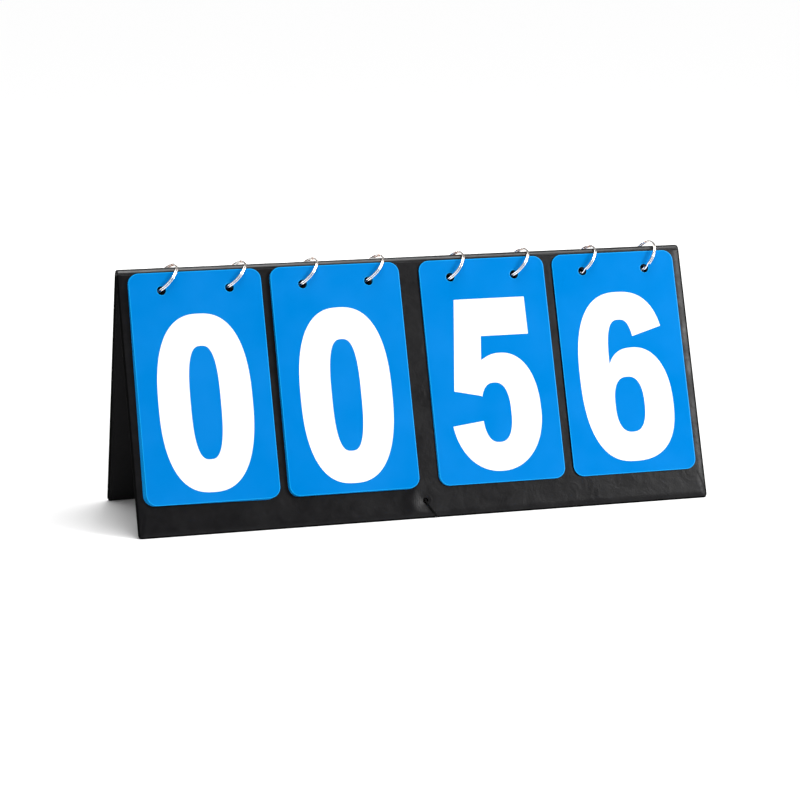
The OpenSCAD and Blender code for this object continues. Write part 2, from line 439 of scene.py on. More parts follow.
@dataclass(frozen=True)
class PlatedWire(Finish):
    """Bright nickel plate on drawn wire, with fine draw lines and a painted warm reflection, strongest on the
    part behind the ridge.
    """

    cast: float = 2.2 * MM
    draw_lines: float = 0.5 * MM
    painted_warm_reflection: tuple[float, float, float] = (0.42, 0.24, 0.18)
    painted_warm_reflection_run: Point2 = (-4 * MM, 1.5 * MM)

    def dress(self, sheet: NodeSheet, shader: bpy.types.Node, place: bpy.types.NodeSocket) -> None:
        """Adds the draw lines and the painted warm reflection."""
        shader.inputs["Metallic"].default_value = 1.0
        cast = self.grain(sheet, place, self.cast, 3)
        parts = sheet.add("ShaderNodeSeparateXYZ")
        sheet.join(place, parts.inputs["Vector"])
        # Wire behind the ridge turns darker and browner in patches: painted reflection.
        behind = sheet.add("ShaderNodeMath", operation="MULTIPLY")
        sheet.join(sheet.ramp(parts.outputs["Y"], 0.25, 1, *self.painted_warm_reflection_run), behind.inputs[0])
        sheet.join(sheet.ramp(cast, 0, 1, 0.42, 0.6), behind.inputs[1])
        warm = tuple(part * share for part, share in zip(self.colour, self.painted_warm_reflection)) + (1.0,)
        sheet.join(sheet.mix(behind.outputs["Value"], self.colour, warm), shader.inputs["Base Color"])
        sheet.join(sheet.ramp(cast, self.roughness, self.roughness + 0.12), shader.inputs["Roughness"])
        self.bump(sheet, shader, ((self.grain(sheet, place, self.draw_lines, 2), 0.01 * MM, 0.1),))


@dataclass(frozen=True)
class Fibre(Finish):
    """Paper, board or cord with a matt fibrous surface."""

    fibre: float = 0.6 * MM
    depth: float = 0.05 * MM

    def dress(self, sheet: NodeSheet, shader: bpy.types.Node, place: bpy.types.NodeSocket) -> None:
        """Adds the fibres as bump and as a change of tone."""
        fibres = self.grain(sheet, place, self.fibre, 4, 1.5)
        tone = sheet.mix(sheet.ramp(fibres, 0, 1), self.toned(0.7), self.toned(1.25))
        sheet.join(tone, shader.inputs["Base Color"])
        rough = sheet.ramp(fibres, self.roughness - 0.05, self.roughness + 0.05)
        sheet.join(rough, shader.inputs["Roughness"])
        self.bump(sheet, shader, ((fibres, self.depth, 0.5),))


COVERING = Leatherette("black_leatherette", "leatherette", (0.0032, 0.003, 0.0036, 1), 0.38, 0.22)
# The ridge copy is a little paler and much shinier than the face covering: painted sheen for the light band
# along the ridge.
RIDGE_COVERING_PAINTED_SHEEN = Leatherette("ridge_leatherette", "leatherette", (0.004, 0.0038, 0.0043, 1), 0.34, 0.42)
# Darker, duller copy of the covering for the sides and foot: painted shade where the edge turns away from the
# light.
EDGE_PAINTED_SHADE_COVERING = Leatherette("turned_leatherette", "leatherette", (0.0015, 0.0015, 0.0016, 1), 0.75, 0.03)
# Near-black, dull copy for the sleeves in the holes: painted shade inside the holes.
HOLE_PAINTED_SHADE_COVERING = Leatherette("hole_leatherette", "leatherette", (0.001, 0.001, 0.001, 1), 0.8, 0.02)
LINING = Fibre("lining_paper", "lining", (0.0065, 0.0062, 0.007, 1), 0.7, 0.2)
BOARD = Fibre("grey_board", "grey_board", (0.24, 0.23, 0.2, 1), 0.85, 0.3)
CARD_FACE = CardPlastic("blue_card_face", "blue_card", srgb(0, 119, 196), 0.45, 0.0)
# Paler copy for the eased rims: painted highlight where the card's edge catches the light.
CARD_RIM_PAINTED_HIGHLIGHT = CardPlastic("blue_card_edge", "blue_card", srgb(4, 150, 222), 0.4, 0.1)
# Darker copy for the cut sides: painted shade on the sides of the piles.
CARD_SIDE_PAINTED_SHADE = CardPlastic("blue_card_side", "blue_card", srgb(0, 74, 128), 0.6, 0.0)
WHITE_INK = Ink("white_screen_ink", "white_ink", (0.93, 0.93, 0.94, 1), 0.45, 0.3)
WIRE = PlatedWire("nickel_plated_wire", "nickel_wire", (1.0, 0.975, 0.935, 1), 0.2, 0.5)
CORD = Fibre("waxed_cord", "cord", (0.002, 0.002, 0.0022, 1), 0.6, 0.12, 0.3 * MM, 0.04 * MM)


def add_object(name: str, data: bpy.types.ID) -> bpy.types.Object:
    """Adds an object with some data to the scene, at the origin."""
    made = bpy.data.objects.new(name, data)
    bpy.context.scene.collection.objects.link(made)
    return made


def ripple(x: float, y: float, size: Point2, seed: float) -> float:
    """Gives smooth noise at a place, with the size of its waves along x and y."""
    return noise.noise(Vector((x / size[0], y / size[1], seed)))


def shell_faces(wide: int, tall: int) -> list[Face]:
    """Joins two grid layers of points, the outer layer first, into a closed shell.

    Args:
        wide: Points in a row.
        tall: Rows in a layer.

    Returns:
        The outer faces, the inner faces and the rim between them.
    """
    over = wide * tall
    outer = [(a, a + 1, a + wide + 1, a + wide)
             for j in range(tall - 1) for a in range(j * wide, (j + 1) * wide - 1)]
    inner = [tuple(corner + over for corner in face[::-1]) for face in outer]
    loop = list(range(wide)) + [j * wide + wide - 1 for j in range(1, tall)]
    loop += [(tall - 1) * wide + i for i in range(wide - 2, -1, -1)]
    loop += [j * wide for j in range(tall - 2, 0, -1)]
    rim = [(a, a + over, b + over, b) for a, b in zip(loop, loop[1:] + loop[:1])]
    return outer + inner + rim


class Shaper:
    """Small mesh jobs that every sub-assembly uses."""

    @staticmethod
    def piece(name: str, points: Sequence[Sequence[float]], faces: Sequence[Face],
              finishes: Sequence[Finish]) -> bpy.types.Object:
        """Makes a mesh object at the origin.

        Args:
            name: The piece's name.
            points: Its vertices.
            faces: Its faces, as vertex numbers.
            finishes: Its material slots' finishes.

        Returns:
            The new object.
        """
        mesh = bpy.data.meshes.new(name)
        mesh.from_pydata([tuple(point) for point in points], [], faces)
        mesh.validate()
        for finish in finishes:
            mesh.materials.append(finish.material())
        return add_object(name, mesh)

    @staticmethod
    def tidy(mesh: bpy.types.Mesh, gap: float = 0.001 * MM) -> None:
        """Merges doubled points and turns every face outwards."""
        work = bmesh.new()
        work.from_mesh(mesh)
        bmesh.ops.remove_doubles(work, verts=work.verts, dist=gap)
        bmesh.ops.recalc_face_normals(work, faces=work.faces)
        work.to_mesh(mesh)
        work.free()

    @staticmethod
    def smooth(mesh: bpy.types.Mesh, sharp_over: float = 40) -> None:
        """Shades a mesh smooth, except over edges sharper than an angle in degrees."""
        mesh.polygons.foreach_set("use_smooth", [True] * len(mesh.polygons))
        mesh.set_sharp_from_angle(angle=math.radians(sharp_over))

    @staticmethod
    def settle(made: bpy.types.Object) -> bpy.types.Object:
        """Turns an object with live modifiers into a plain mesh object of the same name.

        Args:
            made: The object, a curve or a mesh.

        Returns:
            The plain mesh object, at the origin.
        """
        graph = bpy.context.evaluated_depsgraph_get()
        graph.update()
        mesh = bpy.data.meshes.new_from_object(made.evaluated_get(graph), depsgraph=graph)
        name = made.name
        bpy.data.objects.remove(made)
        mesh.name = name
        return add_object(name, mesh)

    @classmethod
    def cut(cls, made: bpy.types.Object, cutter: bpy.types.Object) -> bpy.types.Object:
        """Cuts one object out of another, and removes the cutter."""
        knife = made.modifiers.new("holes", "BOOLEAN")
        knife.operation = "DIFFERENCE"
        knife.solver = "EXACT"
        knife.object = cutter
        made = cls.settle(made)
        bpy.data.objects.remove(cutter)
        return made


class CurveGrower:
    """A geometry node tree that turns poly curves into one finished mesh."""

    def __init__(self, name: str, inputs: dict[str, str]) -> None:
        """Starts the tree.

        Args:
            name: The tree's name.
            inputs: The kind of each input, by the input's name. The first one takes the curves.
        """
        self.tree = bpy.data.node_groups.new(name, "GeometryNodeTree")
        for label, kind in inputs.items():
            self.tree.interface.new_socket(name=label, in_out="INPUT", socket_type=f"NodeSocket{kind}")
        self.tree.interface.new_socket(name="Mesh", in_out="OUTPUT", socket_type="NodeSocketGeometry")
        self.sheet = NodeSheet(self.tree)
        self.given = self.sheet.add("NodeGroupInput").outputs

    def end(self, shape: bpy.types.NodeSocket) -> None:
        """Ends the tree: makes instances real, and gives the shape its finish."""
        real = self.sheet.add("GeometryNodeRealizeInstances")
        paint = self.sheet.add("GeometryNodeSetMaterial")
        result = self.sheet.add("NodeGroupOutput")
        self.sheet.join(shape, real.inputs["Geometry"])
        self.sheet.join(real.outputs["Geometry"], paint.inputs["Geometry"])
        self.sheet.join(self.given["Finish"], paint.inputs["Material"])
        self.sheet.join(paint.outputs["Geometry"], result.inputs["Mesh"])

    def grow(self, name: str, paths: Sequence[Sequence[Vector]], closed: bool,
             sizes: dict[str, object]) -> bpy.types.Object:
        """Runs the tree over poly curves.

        Args:
            name: The piece's name.
            paths: For each spline its points.
            closed: Whether the splines are cyclic.
            sizes: Values for the tree's inputs, by name.

        Returns:
            The result as a plain mesh object.
        """
        curve = bpy.data.curves.new(name, "CURVE")
        curve.dimensions = "3D"
        for path in paths:
            spline = curve.splines.new("POLY")
            spline.points.add(len(path) - 1)
            for point, place in zip(spline.points, path):
                point.co = (place[0], place[1], place[2], 1)
            spline.use_cyclic_u = closed
        made = add_object(name, curve)
        grower = made.modifiers.new("grow", "NODES")
        grower.node_group = self.tree
        for item in self.tree.interface.items_tree:
            if item.item_type == "SOCKET" and item.in_out == "INPUT" and item.name in sizes:
                grower[item.identifier] = sizes[item.name]
        return Shaper.settle(made)


class WireDrawer(CurveGrower):
    """Sweeps a round section along curves."""

    def __init__(self) -> None:
        """Builds the tree once, for every wire and cord."""
        super().__init__("drawn_wire", {"Path": "Geometry", "Wire Radius": "Float", "Sides": "Int",
                                        "Finish": "Material"})
        sheet, given = self.sheet, self.given
        section = sheet.add("GeometryNodeCurvePrimitiveCircle")
        sweep = sheet.add("GeometryNodeCurveToMesh", Fill_Caps=True)
        shade = sheet.add("GeometryNodeSetShadeSmooth")
        sheet.join(given["Sides"], section.inputs["Resolution"])
        sheet.join(given["Wire Radius"], section.inputs["Radius"])
        sheet.join(given["Path"], sweep.inputs["Curve"])
        sheet.join(section.outputs["Curve"], sweep.inputs["Profile Curve"])
        sheet.join(sweep.outputs["Mesh"], shade.inputs["Geometry"])
        self.end(shade.outputs["Geometry"])

    def draw(self, name: str, paths: Sequence[Sequence[Vector]], radius: float, sides: int, closed: bool,
             finish: Finish) -> bpy.types.Object:
        """Draws wire along paths.

        Args:
            name: The piece's name.
            paths: For each strand the points that it follows.
            radius: Radius of the wire.
            sides: Sides of its section.
            closed: Whether each path closes on itself.
            finish: The wire's finish.

        Returns:
            One plain mesh of all the strands.
        """
        sizes = {"Wire Radius": radius, "Sides": sides, "Finish": finish.material()}
        return self.grow(name, paths, closed, sizes)


class SheetCutter(CurveGrower):
    """Fills flat outlines and gives them thickness."""

    weld_gap: float = 0.0005 * MM

    def __init__(self) -> None:
        """Builds the tree once, for every numeral."""
        super().__init__("cut_sheet", {"Outline": "Geometry", "Thickness": "Float", "Finish": "Material"})
        sheet, given = self.sheet, self.given
        fill = sheet.add("GeometryNodeFillCurve", mode="NGONS")
        rise = sheet.add("GeometryNodeExtrudeMesh", mode="FACES", Individual=False)
        back = sheet.add("GeometryNodeFlipFaces")
        both = sheet.add("GeometryNodeJoinGeometry")
        weld = sheet.add("GeometryNodeMergeByDistance", Distance=self.weld_gap)
        sheet.join(given["Outline"], fill.inputs["Curve"])
        sheet.join(fill.outputs["Mesh"], rise.inputs["Mesh"])
        sheet.join(given["Thickness"], rise.inputs["Offset Scale"])
        sheet.join(fill.outputs["Mesh"], back.inputs["Mesh"])
        sheet.join(rise.outputs["Mesh"], both.inputs["Geometry"])
        sheet.join(back.outputs["Mesh"], both.inputs["Geometry"])
        sheet.join(both.outputs["Geometry"], weld.inputs["Geometry"])
        self.end(weld.outputs["Geometry"])

    def cut(self, name: str, outlines: Sequence[Sequence[Vector]], thickness: float,
            finish: Finish) -> bpy.types.Object:
        """Cuts a flat piece.

        Args:
            name: The piece's name.
            outlines: Closed outlines, holes among them.
            thickness: Thickness of the sheet.
            finish: Its finish.

        Returns:
            The plain mesh, with its base at z nought.
        """
        return self.grow(name, outlines, True, {"Thickness": thickness, "Finish": finish.material()})


@dataclass(frozen=True)
class Crease:
    """A fold pressed into the covering, from one place on the slope to another."""

    start: Point2
    end: Point2
    depth: float
    width: float

    def height(self, x: float, y: float) -> float:
        """Gives the crease's height at a place on the slope, below nought in its trough."""
        ax, ay = self.start
        dx, dy = self.end[0] - ax, self.end[1] - ay
        share = ((x - ax) * dx + (y - ay) * dy) / (dx * dx + dy * dy)
        held = max(0.0, min(1.0, share))
        gap = math.hypot(x - ax - held * dx, y - ay - held * dy)
        fade = math.sin(math.pi * (0.08 + 0.84 * held))
        return -self.depth * fade * math.exp(-((gap / self.width) ** 2))


@dataclass(frozen=True)
class CordPull:
    """What the cord's pull does to the skin round its hole: a bulge over it, a dip, a lip and fine lines."""

    bulge: float = 0.5 * MM
    bulge_at: float = 8.5 * MM
    bulge_reach: float = 4 * MM
    dip: float = 0.45 * MM
    dip_reach: float = 3.4 * MM
    lip: float = 0.12 * MM
    lip_at: float = 3.4 * MM
    lip_reach: float = 0.7 * MM
    line: float = 0.022 * MM
    line_gap: float = 1.3 * MM
    line_at: float = 5.5 * MM
    line_reach: float = 3.6 * MM

    def height(self, to_x: float, to_y: float, sway: float) -> float:
        """Gives the skin's height near the hole.

        Args:
            to_x: Distance to the right of the hole.
            to_y: Distance up the slope from the hole.
            sway: How far the fine lines wander here.

        Returns:
            The height, below nought in the dip.
        """
        gap, turn = math.hypot(to_x, to_y), math.atan2(to_y, to_x)
        pull = 0.5 * (1 - math.cos(turn))
        height = self.bulge * pull * math.exp(-(((gap - self.bulge_at) / self.bulge_reach) ** 2))
        height -= self.dip * math.exp(-((gap / self.dip_reach) ** 2))
        height += self.lip * (1 - pull) * math.exp(-(((gap - self.lip_at) / self.lip_reach) ** 2))
        lines = math.sin(math.tau * to_x / self.line_gap + 3 * sway) * (0.6 + sway)
        return height + self.line * lines * pull * math.exp(-(((gap - self.line_at) / self.line_reach) ** 2))


@dataclass
class PanelCover:
    """One covered panel: the skin turned round the board, with its holes and creases."""

    tent: Tent
    side: Side
    rings: Sequence[RingPlace]
    bead: float = 5 * MM
    bead_fall: float = 0.8 * MM
    edge: float = 0.7 * MM
    foot_edge: float = 0.8 * MM
    inner_round: float = 1.5 * MM
    ridge_round: float = 0.5 * MM
    corner: float = 3 * MM
    wall: float = 1.8 * MM
    skin: float = 0.6 * MM
    step: float = 2 * MM
    ring_hole: float = 7 * MM
    cord_hole: float = 3.6 * MM
    cord_hole_x: float = -3.2 * MM
    cord_hole_up: float = 11 * MM
    cord_foot_x: float = 2.8 * MM
    # Width of the band along the sides and foot that takes the painted shade copy of the covering.
    turned: float = 1.2 * MM
    clear_gap: float = 0.4 * MM
    least_gap: float = 0.03 * MM
    wall_run: float = 0.01 * MM
    fine_step: float = 0.35 * MM
    fine_lines: tuple[int, int] = (-28, 16)
    broad_wave: float = 0.035 * MM
    broad_size: Point2 = (0.022, 0.018)
    fine_wave: float = 0.012 * MM
    fine_size: Point2 = (0.006, 0.005)
    line_sway: float = 0.9
    sway_size: Point2 = (0.003, 0.006)
    seeds: tuple[float, float, float] = (7.3, 2.1, 5.2)
    hole_sides: int = 40
    sleeve_top: float = 0.35 * MM
    sleeve_low: float = 0.05 * MM
    sleeve_wall: float = 0.15 * MM
    sleeve_gap: float = 0.01 * MM
    cord_dent: float = 1.3 * MM
    cord_dent_reach: float = 1.1 * MM
    pull: CordPull = field(default_factory=CordPull)
    creases: list[Crease] = field(default_factory=list)

    def lines(self, low: float, high: float, rounds: Sequence[tuple[float, float]],
              marks: Sequence[float]) -> list[float]:
        """Places grid lines along one direction.

        Args:
            low: Where the lines start.
            high: Where they end.
            rounds: For each rounded end its outer place and its signed reach inwards.
            marks: More places that need a line.

        Returns:
            The places in rising order.
        """
        found = {round(low + (high - low) * i / n, 7) for n in [round((high - low) / self.step)]
                 for i in range(n + 1)}
        bends = [outer + reach * (1 - math.sin(math.radians(turn)))
                 for outer, reach in rounds for turn in BEND_TURNS]
        clear = [place for place in found
                 if all(not min(o, o + r) - 1e-9 <= place <= max(o, o + r) + 1e-9 for o, r in rounds)]
        clear = [place for place in clear
                 if min(abs(place - bend) for bend in bends + list(marks)) > self.clear_gap]
        near: list[float] = sorted(list(marks) + [low, high])
        for bend in bends + clear:
            if min(abs(bend - place) for place in near) > self.least_gap:
                near.append(bend)
        return sorted(near)

    @staticmethod
    def fall(gap: float, reach: float, depth: float) -> float:
        """Gives how far an elliptic edge has fallen at a gap from the outline."""
        if gap >= reach:
            return 0.0
        return depth * (1 - math.sqrt(max(0.0, 1 - ((reach - gap) / reach) ** 2)))

    def swell(self, gap: float) -> float:
        """Gives how far the padded bead has fallen at a gap from the outline."""
        return self.bead_fall * max(0.0, 1 - gap / self.bead) ** 2

    def drop(self, x: float, y: float, outer: bool) -> float:
        """Gives the fall of the outer or inner face towards the panel's outline."""
        depth = self.tent.edge_radius
        to_side, to_foot = self.tent.width / 2 - abs(x), y + self.tent.slope_length
        if not outer:
            return min(depth, math.hypot(self.fall(to_side, self.inner_round, depth),
                                         self.fall(to_foot, self.inner_round, depth)))
        rest = depth - self.bead_fall
        from_side = self.swell(to_side) + self.fall(to_side, self.edge, rest)
        from_foot = self.swell(to_foot) + self.fall(to_foot, self.foot_edge, rest)
        return min(depth, math.hypot(from_side, from_foot, self.fall(-y, self.ridge_round, self.ridge_round)))

    def waves(self, x: float, y: float) -> float:
        """Gives the skin's small waves, creases and pull at a place on the slope."""
        way = self.side.value
        broad_seed, fine_seed, sway_seed = self.seeds
        broad = self.broad_wave * ripple(x, y, self.broad_size, broad_seed * way)
        fine = self.fine_wave * ripple(x, y, self.fine_size, fine_seed * way)
        hole_x, hole_y = self.cord_spot()
        sway = self.line_sway * ripple(x, y, self.sway_size, sway_seed)
        pucker = self.pull.height(x - hole_x, y - hole_y, sway)
        return broad + fine + pucker + sum(crease.height(x, y) for crease in self.creases)

    def cord_spot(self) -> Point2:
        """Gives the cord hole's place on the slope."""
        return self.side.value * self.cord_hole_x, -self.tent.slope_length + self.cord_hole_up

    def rounded(self, x: float, y: float) -> Point2:
        """Pulls a place near a foot corner in, so that the corner is round in plan."""
        inner_x = self.tent.width / 2 - self.corner
        inner_y = -self.tent.slope_length + self.corner
        p, q = (abs(x) - inner_x) / self.corner, (inner_y - y) / self.corner
        if p <= 0 or q <= 0:
            return x, y
        pulled_x = inner_x + self.corner * p * math.sqrt(1 - q * q / 2)
        pulled_y = inner_y - self.corner * q * math.sqrt(1 - p * p / 2)
        return math.copysign(pulled_x, x), pulled_y

    def build(self) -> bpy.types.Object:
        """Builds the cover's mesh as two face layers over one grid, and cuts its holes.

        Returns:
            The finished cover.
        """
        tent = self.tent
        half, long = tent.width / 2, tent.slope_length
        hole_x, hole_y = self.cord_spot()
        near = [i * self.fine_step for i in range(*self.fine_lines)]
        runs = (-self.wall_run, self.wall_run)
        xs = self.lines(-half, half, [(s * half, -s * reach) for s in (-1, 1)
                                      for reach in (self.bead, self.inner_round, self.edge)],
                        [s * (half - self.wall + run) for s in (-1, 1) for run in runs]
                        + [hole_x + self.side.value * gap for gap in near])
        ys = self.lines(-long, 0, [(-long, self.bead), (-long, self.foot_edge), (0, -self.ridge_round)],
                        [wall + run for wall in (-long + self.wall, -self.wall) for run in runs]
                        + [hole_y + gap for gap in near])
        frame = tent.slope(self.side)
        points = [frame @ self.spot(outer, x, y) for outer in (True, False) for y in ys for x in xs]
        for point in points:
            self.seat(point)
        faces = shell_faces(len(xs), len(ys))
        made = Shaper.piece(f"{self.side.name.lower()}_leatherette_cover", points, faces, [COVERING])
        Shaper.tidy(made.data)
        made = Shaper.cut(made, self.cutter(frame))
        # Faces near the sides and the foot take the darker, duller copy: painted shade on the turned edge.
        made.data.materials.append(EDGE_PAINTED_SHADE_COVERING.material())
        back = frame.inverted()
        for polygon in made.data.polygons:
            spot = back @ polygon.center
            if max(abs(spot.x) - half, -spot.y - long) > -self.turned:
                polygon.material_index = 1
        Shaper.smooth(made.data, sharp_over=42)
        return made

    def spot(self, outer: bool, x: float, y: float) -> Vector:
        """Gives a grid point of the outer or inner layer in the slope's frame."""
        px, py = self.rounded(x, y)
        half, long = self.tent.width / 2, self.tent.slope_length
        if outer:
            fall = self.drop(x, y, True)
            calm = min(1.0, max(0.0, 1 - fall / self.tent.edge_radius))
            return Vector((px, py, -fall + calm * self.waves(x, y)))
        in_space = abs(x) < half - self.wall and -long + self.wall < y < -self.wall
        if in_space:
            return Vector((px, py, -self.skin))
        rise = self.drop(x, y, False)
        return Vector((px, py, -self.tent.thickness + rise))

    def seat(self, point: Vector) -> None:
        """Keeps a point of the foot on the table, and lifts it clear of the cord that passes under."""
        reach = self.cord_dent_reach
        gap = abs(point.x - self.cord_foot_x)
        dent = self.cord_dent * math.sqrt(1 - (gap / reach) ** 2) if gap < reach else 0.0
        point.z = max(point.z, dent)

    def holes(self) -> list[tuple[float, float, float]]:
        """Gives each hole's place on the slope and its radius."""
        found = [(spot.x, spot.y, self.ring_hole / 2) for spot in
                 (ring.crossing(self.tent, -self.tent.thickness / 2, self.side) for ring in self.rings)]
        return found + [(*self.cord_spot(), self.cord_hole / 2)]

    def hole_walls(self) -> bpy.types.Object:
        """Builds the covering that turns into every hole and hides the board's cut edge, darker and duller
        than the face: painted shade inside the holes.

        Returns:
            One mesh with a short sleeve in each hole.
        """
        frame, sides = self.tent.slope(self.side), self.hole_sides
        top, low = -self.sleeve_top, -self.tent.thickness + self.sleeve_low
        points: list[Vector] = []
        faces: list[Face] = []
        for x, y, radius in self.holes():
            base = len(points)
            outside, inside = radius - self.sleeve_gap, radius - self.sleeve_wall
            for reach, off in ((outside, top), (inside, top), (inside, low), (outside, low)):
                points += [frame @ Vector((x + reach * math.cos(math.tau * i / sides),
                                           y + reach * math.sin(math.tau * i / sides), off))
                           for i in range(sides)]
            for k in range(4):
                over, under = base + k * sides, base + (k + 1) % 4 * sides
                faces += [(over + i, over + (i + 1) % sides, under + (i + 1) % sides, under + i)
                          for i in range(sides)]
        made = Shaper.piece(f"{self.side.name.lower()}_hole_walls", points, faces, [HOLE_PAINTED_SHADE_COVERING])
        Shaper.tidy(made.data)
        Shaper.smooth(made.data, sharp_over=50)
        return made

    def cutter(self, frame: Matrix) -> bpy.types.Object:
        """Makes the punches for the ring holes and the cord hole as one object."""
        work = bmesh.new()
        for x, y, radius in self.holes():
            place = frame @ Matrix.Translation((x, y, -self.tent.thickness / 2))
            bmesh.ops.create_cone(work, cap_ends=True, segments=self.hole_sides, radius1=radius,
                                  radius2=radius, depth=3 * self.tent.thickness, matrix=place)
        mesh = bpy.data.meshes.new("punches")
        work.to_mesh(mesh)
        work.free()
        return add_object("punches", mesh)


@dataclass
class RidgeTape:
    """The strip of covering that bends over the ridge from one panel to the other."""

    tent: Tent
    thickness: float = 0.6 * MM
    end_round: float = 1.5 * MM
    lap_round: float = 8
    lap_fall: float = 0.28 * MM
    least: float = 0.1 * MM
    wave: float = 0.03 * MM
    wave_size: Point2 = (0.012, 25)
    seed: float = 3.7
    lap_lines: tuple[float, ...] = (0, 2, 5)
    arc_lines: int = 17
    step: float = 2 * MM

    def build(self) -> bpy.types.Object:
        """Builds the tape's mesh as an outer and an inner arc joined round their edges.

        Returns:
            The finished tape.
        """
        tent = self.tent
        half = tent.width / 2
        span = 90 - math.degrees(tent.lean)
        turns = [-span + gap for gap in self.lap_lines]
        turns += list(np.linspace(-span + self.lap_round, span - self.lap_round, self.arc_lines))
        turns += [span - gap for gap in reversed(self.lap_lines)]
        ends = [half - self.end_round * (1 - math.sin(math.radians(a))) for a in BEND_TURNS]
        middle = [i * self.step for i in range(int((half - self.end_round) / self.step))]
        right = [x for x in middle if x > 0] + ends
        xs = [-x for x in reversed(right)] + [0.0] + right
        points = [self.spot(x, turn, inner) for inner in (False, True) for turn in turns for x in xs]
        made = Shaper.piece("ridge_tape", points, shell_faces(len(xs), len(turns)), [RIDGE_COVERING_PAINTED_SHEEN])
        Shaper.tidy(made.data)
        Shaper.smooth(made.data, sharp_over=50)
        return made

    def spot(self, x: float, turn: float, inner: bool) -> Vector:
        """Gives a point of the tape's outer or inner face."""
        half = self.tent.width / 2
        span = 90 - math.degrees(self.tent.lean)
        fall = PanelCover.fall(half - abs(x), self.end_round, self.tent.edge_radius)
        lap = max(0.0, 1 - (span - abs(turn)) / self.lap_round)
        outer = self.tent.ridge_radius - fall - self.lap_fall * lap * lap
        outer += self.wave * ripple(x, turn, self.wave_size, self.seed)
        bottom = min(self.tent.ridge_radius - self.thickness, outer - self.least)
        radius = bottom if inner else outer
        angle = math.radians(turn)
        return Vector((x, radius * math.sin(angle), self.tent.ridge_z + radius * math.cos(angle)))


def arc(middle: Point2, reach: Point2, start: float, end: float, fullness: float = 2.5,
        steps: int = 24) -> list[Point2]:
    """Gives points along part of a superellipse, in numeral units.

    Args:
        middle: Its middle.
        reach: Its half width and half height.
        start: Start angle in degrees, anticlockwise from the right.
        end: End angle in degrees.
        fullness: Its exponent: two is an ellipse, and more is squarer.
        steps: Steps for each quarter turn.

    Returns:
        The points.
    """
    count = max(2, round(abs(end - start) / 90 * steps))
    points = []
    for i in range(count + 1):
        turn = math.radians(start + (end - start) * i / count)
        cos, sin = math.cos(turn), math.sin(turn)
        points.append((middle[0] + reach[0] * math.copysign(abs(cos) ** (2 / fullness), cos),
                       middle[1] + reach[1] * math.copysign(abs(sin) ** (2 / fullness), sin)))
    return points


def half_turn(points: Iterable[Point2]) -> list[Point2]:
    """Turns an outline upside down about the numeral's middle."""
    return [(-x, -y) for x, y in points]


